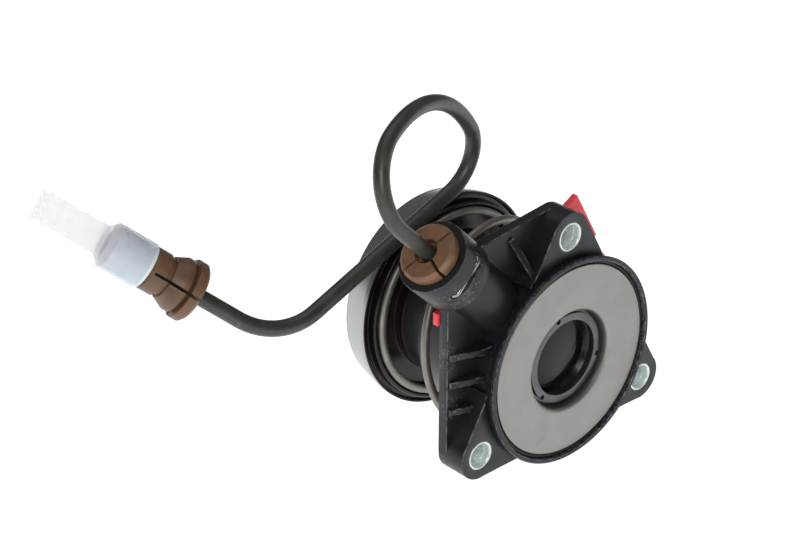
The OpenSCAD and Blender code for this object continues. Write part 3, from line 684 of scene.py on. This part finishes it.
class SLAVE_OT_housing(PieceOperator):
    """Moulds the black housing with its rubbed edges, pale partly from wear and partly from a painted
    highlight
    """

    bl_idname = "slave.housing"
    bl_label = "Housing"

    def build(self):
        flange = settings("flange")
        rubs = [((-41, 4, 36), 9, 0.9), ((-36, 6, 40), 8, 0.9), ((-42, 8, 12), 8, 0.5),
                ((-40, 7, -4), 6, 0.5)]
        pads = [(spot, 15) for spot in ear_centres()]
        rims = (flange.drum_r - 0.2, flange.rim_r)
        black = moulded_black("black moulding", flange.black, 0.36, rubs, rims, pads)
        body = copied("housing", "housing_moulding", black, flange.edge_round, 3)
        fitted(body, "fixed_unit", "black_moulding", "housing")


class SLAVE_OT_bolt_sleeves(PieceOperator):
    """Presses the plated sleeves into the ears"""

    bl_idname = "slave.bolt_sleeves"
    bl_label = "Bolt sleeves"

    def build(self):
        flange = settings("flange")
        zinc = plated("zinc plate", flange.zinc, 0.3, 0.4, 0.4)
        bore, outer, depth = flange.sleeve_bore_r, flange.sleeve_r, flange.depth
        step = bore + 0.18
        outline = [(step, 0.5), (step + 0.3, 0), (outer, 0), (outer, depth), (step, depth), (step, depth - 2),
                   (bore, depth - 2.3), (bore, 2.3), (step, 2)]
        pattern = turned("sleeve_pattern", softened(outline, 0.22, 3), zinc, turn=72)
        obj = seed_points("bolt_sleeve_set", ear_centres())
        tree = Tree("sleeves_in_ears")
        given = tree.add("GeometryNodeObjectInfo", Object=pattern)
        placed = tree.add("GeometryNodeInstanceOnPoints", Points=tree.inputs.outputs["Geometry"],
                          Instance=given.outputs["Geometry"])
        tree.run(obj, placed.outputs[0], zinc)
        bpy.data.batch_remove([pattern])
        fitted(obj, "fixed_unit", "zinc_steel", "bolt_sleeves")


class SLAVE_OT_guide_sleeve(PieceOperator):
    """Draws the steel disc, its roll and the guide tube from one sheet"""

    bl_idname = "slave.guide_sleeve"
    bl_label = "Guide sleeve"

    def build(self):
        s = settings("sleeve")
        outer = s.bore_r + s.sheet
        front = -s.disc_stand
        hub = (s.bore_r + s.roll_r, front + s.roll_r)
        groove = s.end_y - 2
        slot = (groove - 0.05, groove + 1.05)
        slot_r = outer - 0.75
        edge = softened([(s.disc_r - 2, front), (s.disc_r, front), (s.disc_r, front + s.sheet),
                         (s.disc_r - 2, front + s.sheet)], 0.35, 5)
        end = softened([(outer, groove + 1.1), (outer, s.end_y), (s.bore_r, s.end_y),
                        (s.bore_r, groove)], 0.3, 4)
        outline = arc(hub, s.roll_r, 180, 270, 14) + [tuple(p) for p in edge[6:18]]
        outline += arc(hub, s.roll_r - s.sheet, 270, 180, 8)
        outline += [(outer, slot[0]), (slot_r, slot[0]), (slot_r, slot[1]), (outer, slot[1])]
        outline += [tuple(p) for p in end[5:15]]
        piece = turned("guide_sleeve_sheet", outline, satin_disc("satin steel", s.steel), turn=DISC_TURN)
        fitted(piece, "fixed_unit", "drawn_steel", "guide_sleeve")


class SLAVE_OT_seals(PieceOperator):
    """Fits the rubber seals, the shaft seal and the stop ring"""

    bl_idname = "slave.seals"
    bl_label = "Seals"

    def build(self):
        black = rubber("black rubber")
        sleeve = settings("sleeve")
        width, height, bead = 1.1, 1.6, 0.6
        inner = sleeve.disc_r + 0.15
        outer = inner + width
        front = 0.2 - sleeve.disc_stand
        back = front + height
        rim = [(inner, back), (inner, front + bead), (inner + 0.15, front), (outer - 0.15, front),
               (outer, front + bead), (outer, back)]
        wiper = [(23.9, 33), (25.2, 33), (25.2, 35.8), (23.47, 35.8), (23.47, 35)]
        lip = [(12.1, 1.8), (14.4, 1.8), (14.4, 3.2), (13.2, 3.2), (13.2, 6.8), (11.5, 6.8), (11, 5.8),
               (11, 3.8)]
        wet = rubber("oiled lip", (0.005, 0.005, 0.0055), 0.16)
        rings = (("rim_seal", rim, 0.2, black), ("wiper_ring", wiper, 0.15, black),
                 ("shaft_seal_lip", lip, 0.25, wet))
        for node, outline, round_off, look in rings:
            piece = turned(node + "_rubber", softened(outline, round_off), look)
            fitted(piece, "fixed_unit", "black_rubber", node)
        ring = turned("sleeve_seal_rubber", arc((18.05, 2.6), 1, 0, 345, 23), black)
        fitted(ring, "fixed_unit", "black_rubber", "sleeve_seal")
        dull = plated("seal case", (0.13, 0.13, 0.133), 0.42)
        case = copied("shaft_seal_case", "shaft_seal_case_steel", dull, 0.12)
        fitted(case, "fixed_unit", "seal_case", "shaft_seal_case")
        spring = plated("fine wire", (0.4, 0.4, 0.4), 0.3)
        coil = []
        turns, per_turn, coil_r = 150, 8, 0.48
        for i in range(turns * per_turn):
            a = 2 * math.pi * i / (turns * per_turn)
            b = 2 * math.pi * i / per_turn
            r = 13.2 + coil_r * math.cos(b)
            coil.append((r * math.cos(a), 5 + coil_r * math.sin(b), r * math.sin(a)))
        garter = wire_along("garter_spring_wire", coil, 0.1, spring, 6)
        fitted(garter, "fixed_unit", "spring_steel", "seal_garter_spring")
        stop = [(16.3, 44), (18.3, 44), (18.3, 45), (16.3, 45)]
        piece = turned("stop_ring_steel", softened(stop, 0.2), spring)
        fitted(piece, "fixed_unit", "spring_steel", "stop_ring")


class SLAVE_OT_preload_spring(PieceOperator):
    """Winds the preload spring and makes its red seat"""

    bl_idname = "slave.preload_spring"
    bl_label = "Preload spring"

    def build(self):
        s = settings("spring")
        per_turn = 60
        points = []
        for i in range(round(s.turns * per_turn) + 1):
            t = i / per_turn
            live = s.turns - 2 * s.dead
            share = min(max((t - s.dead) / live, 0), 1)
            r = s.base_r + (s.top_r - s.base_r) * share
            a = math.radians(s.start - 360 * t)
            points.append((r * math.cos(a), s.base_y + (s.top_y - s.base_y) * share, r * math.sin(a)))
        wire = plated("spring wire", s.wire, 0.4, 0.8, 0.75)
        spring = wire_along("preload_spring_wire", points, s.wire_r, wire, 24)
        fitted(spring, "fixed_unit", "spring_steel", "preload_spring")
        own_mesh(spring)
        seat = copied("spring_seat_ring", "spring_seat_moulding", red_seat("red moulding", s.seat), 0.25, 3)
        fitted(seat, "fixed_unit", "red_moulding", "spring_seat_ring")


class SLAVE_OT_pressure_line(PieceOperator):
    """Bends the pressure pipe and fits its collets, rings and clip"""

    bl_idname = "slave.pressure_line"
    bl_label = "Pressure line"

    def build(self):
        line = settings("line")
        points, end = pipe_route()
        coat = pipe_coat("olive coat", line.coat)
        pipe = wire_along("pressure_pipe_coated", points, line.pipe_r, coat, 28)
        fitted(pipe, "fixed_unit", "pipe_coat", "pressure_pipe")
        for node, share in (("port_collet", 1.15), ("line_connector", 0.8)):
            brown = moulded_brown(node.replace("_", " "), scaled(line.brown, share))
            piece = copied(node, node + "_moulding", brown, 0.22, 3)
            fitted(piece, "fixed_unit", "brown_moulding", node)
        black = rubber("ring rubber")
        inside = on_frame(row_frame(line.port_face_r - 16.7, PORT_ANGLE))
        outside = on_frame(end @ Matrix.Translation((0, 0, 19.6)))
        for node, gap, place in (("port_seal", 1.1, inside), ("line_seal", 2.1, outside)):
            ring = arc((line.pipe_r + gap, 0), 1.05, 0, 345, 23)
            piece = turned(node + "_rubber", ring, black, place, 64)
            fitted(piece, "fixed_unit", "black_rubber", node)
        clip = copied("port_clip", "port_clip_wire", plated("clip wire", (0.3, 0.31, 0.33), 0.25), 0.05, 1)
        fitted(clip, "fixed_unit", "zinc_steel", "port_clip")


class SLAVE_OT_protective_cap(PieceOperator):
    """Makes the translucent cap with its pull tab"""

    bl_idname = "slave.protective_cap"
    bl_label = "Protective cap"

    def build(self):
        line = settings("line")
        end = pipe_route()[1]
        mouth = (end @ Vector((0, 0, 15.9))) * MM
        clear = clear_cap("clear moulding", line.cap, mouth, end.to_3x3().col[2])
        cap = copied("protective_cap", "protective_cap_moulding", clear, 0.3, 3)
        fitted(cap, "cap", "clear_cap", "protective_cap")


class SLAVE_OT_piston(PieceOperator):
    """Turns the ring piston and its lip seal"""

    bl_idname = "slave.piston"
    bl_label = "Piston"

    def build(self):
        black = moulded_black("piston moulding", (0.012, 0.012, 0.013), 0.3)
        inner, outer = 17.06, 23.44
        lip_y, valley_y, seal_y = 22.775, 24.775, 26.775
        piston = [(inner, seal_y), (outer, seal_y), (outer, 47), (21, 47), (21, 51.5), (18.55, 51.5),
                  (18.55, 43.7), (inner, 43.7)]
        piece = turned("piston_moulding", softened(piston, 0.3), black)
        fitted(piece, "piston_unit", "black_moulding", "piston")
        seal = [(inner, lip_y), (17.96, lip_y), (19.65, valley_y), (20.85, valley_y), (22.54, lip_y),
                (outer, lip_y), (outer, seal_y), (inner, seal_y)]
        piece = turned("piston_seal_rubber", softened(seal, 0.2), rubber("lip rubber"))
        fitted(piece, "piston_unit", "black_rubber", "piston_seal")


class SLAVE_OT_release_bearing(PieceOperator):
    """Builds the release bearing on its dark carrier"""

    bl_idname = "slave.release_bearing"
    bl_label = "Release bearing"

    def build(self):
        s = settings("bearing")
        dish = moulded_black("dark carrier", s.dish, 0.18)
        carrier = [(21.05, 47), (23.44, 47), (23.44, 50.6), (31.65, 50.6), (31.65, 49.1), (32.05, 48.7),
                   (32.65, 48.7), (33.05, 49.1), (33.05, 51.9), (34.5, 51.9), (34.5, 53), (21.05, 53)]
        piece = turned("bearing_carrier_dish", softened(carrier, 0.3), dish, turn=DISC_TURN)
        fitted(piece, "piston_unit", "dark_carrier", "bearing_carrier")
        shell = [(34.55, 50.9), (35.4, 50.9), (35.4, 53), (33.75, 60.6), (33.6, 60.6), (33.5, 61.7),
                 (32.3, 62.9), (28.5, 62.9), (28.5, 62.05), (31.45, 62.05), (32.65, 60.85), (34.55, 53)]
        bright = turned_shell("bright shell", s.shell)
        piece = turned("bearing_shell_sheet", softened(shell, 0.3), bright, turn=DISC_TURN)
        fitted(piece, "piston_unit", "shell_steel", "bearing_shell")
        ground = plated("ground steel", s.ground, 0.22, 0.3)
        for node, body in (("bearing_outer_race", "piston_unit"), ("bearing_inner_race", "rotating_ring")):
            fitted(copied(node, node + "_steel", ground, 0.25, 3), body, "ring_steel", node)
        spring_steel = plated("washer steel", (0.3, 0.3, 0.31), 0.3)
        washer = copied("centring_washer", "centring_washer_steel", spring_steel, 0.1)
        fitted(washer, "piston_unit", "spring_steel", "centring_washer")
        brownish = rubber("shield rubber", (0.03, 0.022, 0.016))
        shield = copied("bearing_shield", "bearing_shield_rubber", brownish, 0.12)
        fitted(shield, "piston_unit", "black_rubber", "bearing_shield")
        cage = moulded_brown("cage moulding", (0.5, 0.44, 0.3))
        fitted(copied("ball_cage", "ball_cage_moulding", cage, 0), "ball_set", "cage_moulding", "ball_cage")
        self.balls(s, plated("ball steel", (0.72, 0.73, 0.75), 0.14, 0.3))

    def balls(self, s, steel):
        turn = [2 * math.pi * i / s.balls for i in range(s.balls)]
        spots = [(s.pitch_r * math.cos(a), s.ball_y, s.pitch_r * math.sin(a)) for a in turn]
        obj = seed_points("bearing_ball_set", spots)
        tree = Tree("balls_in_cage", Radius=s.ball_r * MM)
        ball = tree.add("GeometryNodeMeshUVSphere", Radius=tree.inputs.outputs["Radius"], Segments=32,
                        Rings=16)
        placed = tree.add("GeometryNodeInstanceOnPoints", Points=tree.inputs.outputs["Geometry"],
                          Instance=ball.outputs["Mesh"])
        tree.run(obj, placed.outputs[0], steel)
        smooth(obj.data, 60)
        fitted(obj, "ball_set", "ring_steel", "bearing_balls")


class SLAVE_OT_stage(bpy.types.Operator):
    """Lays the pale floor and sets the soft light and the camera"""

    bl_idname = "slave.stage"
    bl_label = "Stage"
    bl_options = {"REGISTER", "UNDO"}

    def execute(self, context):
        s = settings("stage")
        look = Look("pale floor", roughness=0.9, emission_strength=s.glow)
        look.shader.inputs["Emission Color"].default_value = (1, 1, 1, 1)
        look.feed("Base Color", look.mix(look.noise(120, 2), (0.93, 0.93, 0.93), (0.96, 0.96, 0.96)))
        half = 6.0
        height = CAD_BOX[0].z - s.floor_gap * MM
        mesh = bpy.data.meshes.new("floor")
        corners = [(-half, -half, height), (half, -half, height), (half, half, height), (-half, half, height)]
        mesh.from_pydata(corners, [], [(0, 1, 2, 3)])
        linked("floor", mesh, look.material)
        world = bpy.data.worlds.new("white surroundings")
        world.use_nodes = True
        world.node_tree.nodes["Background"].inputs["Color"].default_value = (1, 1, 1, 1)
        world.node_tree.nodes["Background"].inputs["Strength"].default_value = s.world
        context.scene.world = world
        context.scene.view_settings.view_transform = "Standard"
        self.light("key light", (-0.7, -0.65, 0.6), 0.5, s.key)
        self.light("top light", (0.1, 0.25, 1.2), 1.1, s.top)
        self.camera(s, context.scene)
        return {"FINISHED"}

    def light(self, name, spot, width, power):
        lamp = bpy.data.lights.new(name, "AREA")
        lamp.size = width
        lamp.energy = power
        obj = bpy.data.objects.new(name, lamp)
        obj.location = spot
        obj.rotation_euler = (-Vector(spot)).to_track_quat("-Z", "Y").to_euler()
        bpy.context.scene.collection.objects.link(obj)

    def camera(self, s, scene):
        """Camera at the photograph's angle: azimuth -41.8 and elevation 26.9 degrees."""
        right, up, back = (0.7455, -0.6665, 0), (0.3015, 0.3373, 0.8918), (-0.594, -0.665, 0.452)
        data = bpy.data.cameras.new("camera")
        data.lens = s.lens
        data.sensor_width = 36
        data.sensor_fit = "HORIZONTAL"
        data.clip_start = 0.01
        obj = bpy.data.objects.new("camera", data)
        turn = Matrix((right, up, back)).transposed().to_4x4()
        obj.matrix_world = Matrix.Translation((-0.3839, -0.3553, 0.2945)) @ turn
        scene.collection.objects.link(obj)
        scene.camera = obj


class SlaveCylinderSettings(bpy.types.PropertyGroup):
    flange: PointerProperty(type=FlangeSettings)
    sleeve: PointerProperty(type=SleeveSettings)
    spring: PointerProperty(type=SpringSettings)
    line: PointerProperty(type=LineSettings)
    bearing: PointerProperty(type=BearingSettings)
    stage: PointerProperty(type=StageSettings)


PIECES = (SLAVE_OT_housing, SLAVE_OT_bolt_sleeves, SLAVE_OT_guide_sleeve, SLAVE_OT_seals,
          SLAVE_OT_preload_spring, SLAVE_OT_pressure_line, SLAVE_OT_protective_cap, SLAVE_OT_piston,
          SLAVE_OT_release_bearing)


class SLAVE_PT_panel(bpy.types.Panel):
    """Lists the pieces and the stage"""

    bl_label = "Slave cylinder"
    bl_idname = "SLAVE_PT_panel"
    bl_space_type = "VIEW_3D"
    bl_region_type = "UI"
    bl_category = "Slave cylinder"

    def draw(self, context):
        for piece in (SLAVE_OT_stage, *PIECES):
            self.layout.operator(piece.bl_idname)


CLASSES = (FlangeSettings, SleeveSettings, SpringSettings, LineSettings, BearingSettings, StageSettings,
           SlaveCylinderSettings, SLAVE_OT_stage, *PIECES, SLAVE_PT_panel)


def register():
    for item in CLASSES:
        bpy.utils.register_class(item)
    bpy.types.Scene.slave_cylinder = PointerProperty(type=SlaveCylinderSettings)


def unregister():
    del bpy.types.Scene.slave_cylinder
    for item in reversed(CLASSES):
        bpy.utils.unregister_class(item)


def main():
    register()
    bpy.ops.slave.stage()
    for piece in PIECES:
        getattr(bpy.ops.slave, piece.bl_idname.split(".")[1])()


if __name__ == "__main__":
    main()
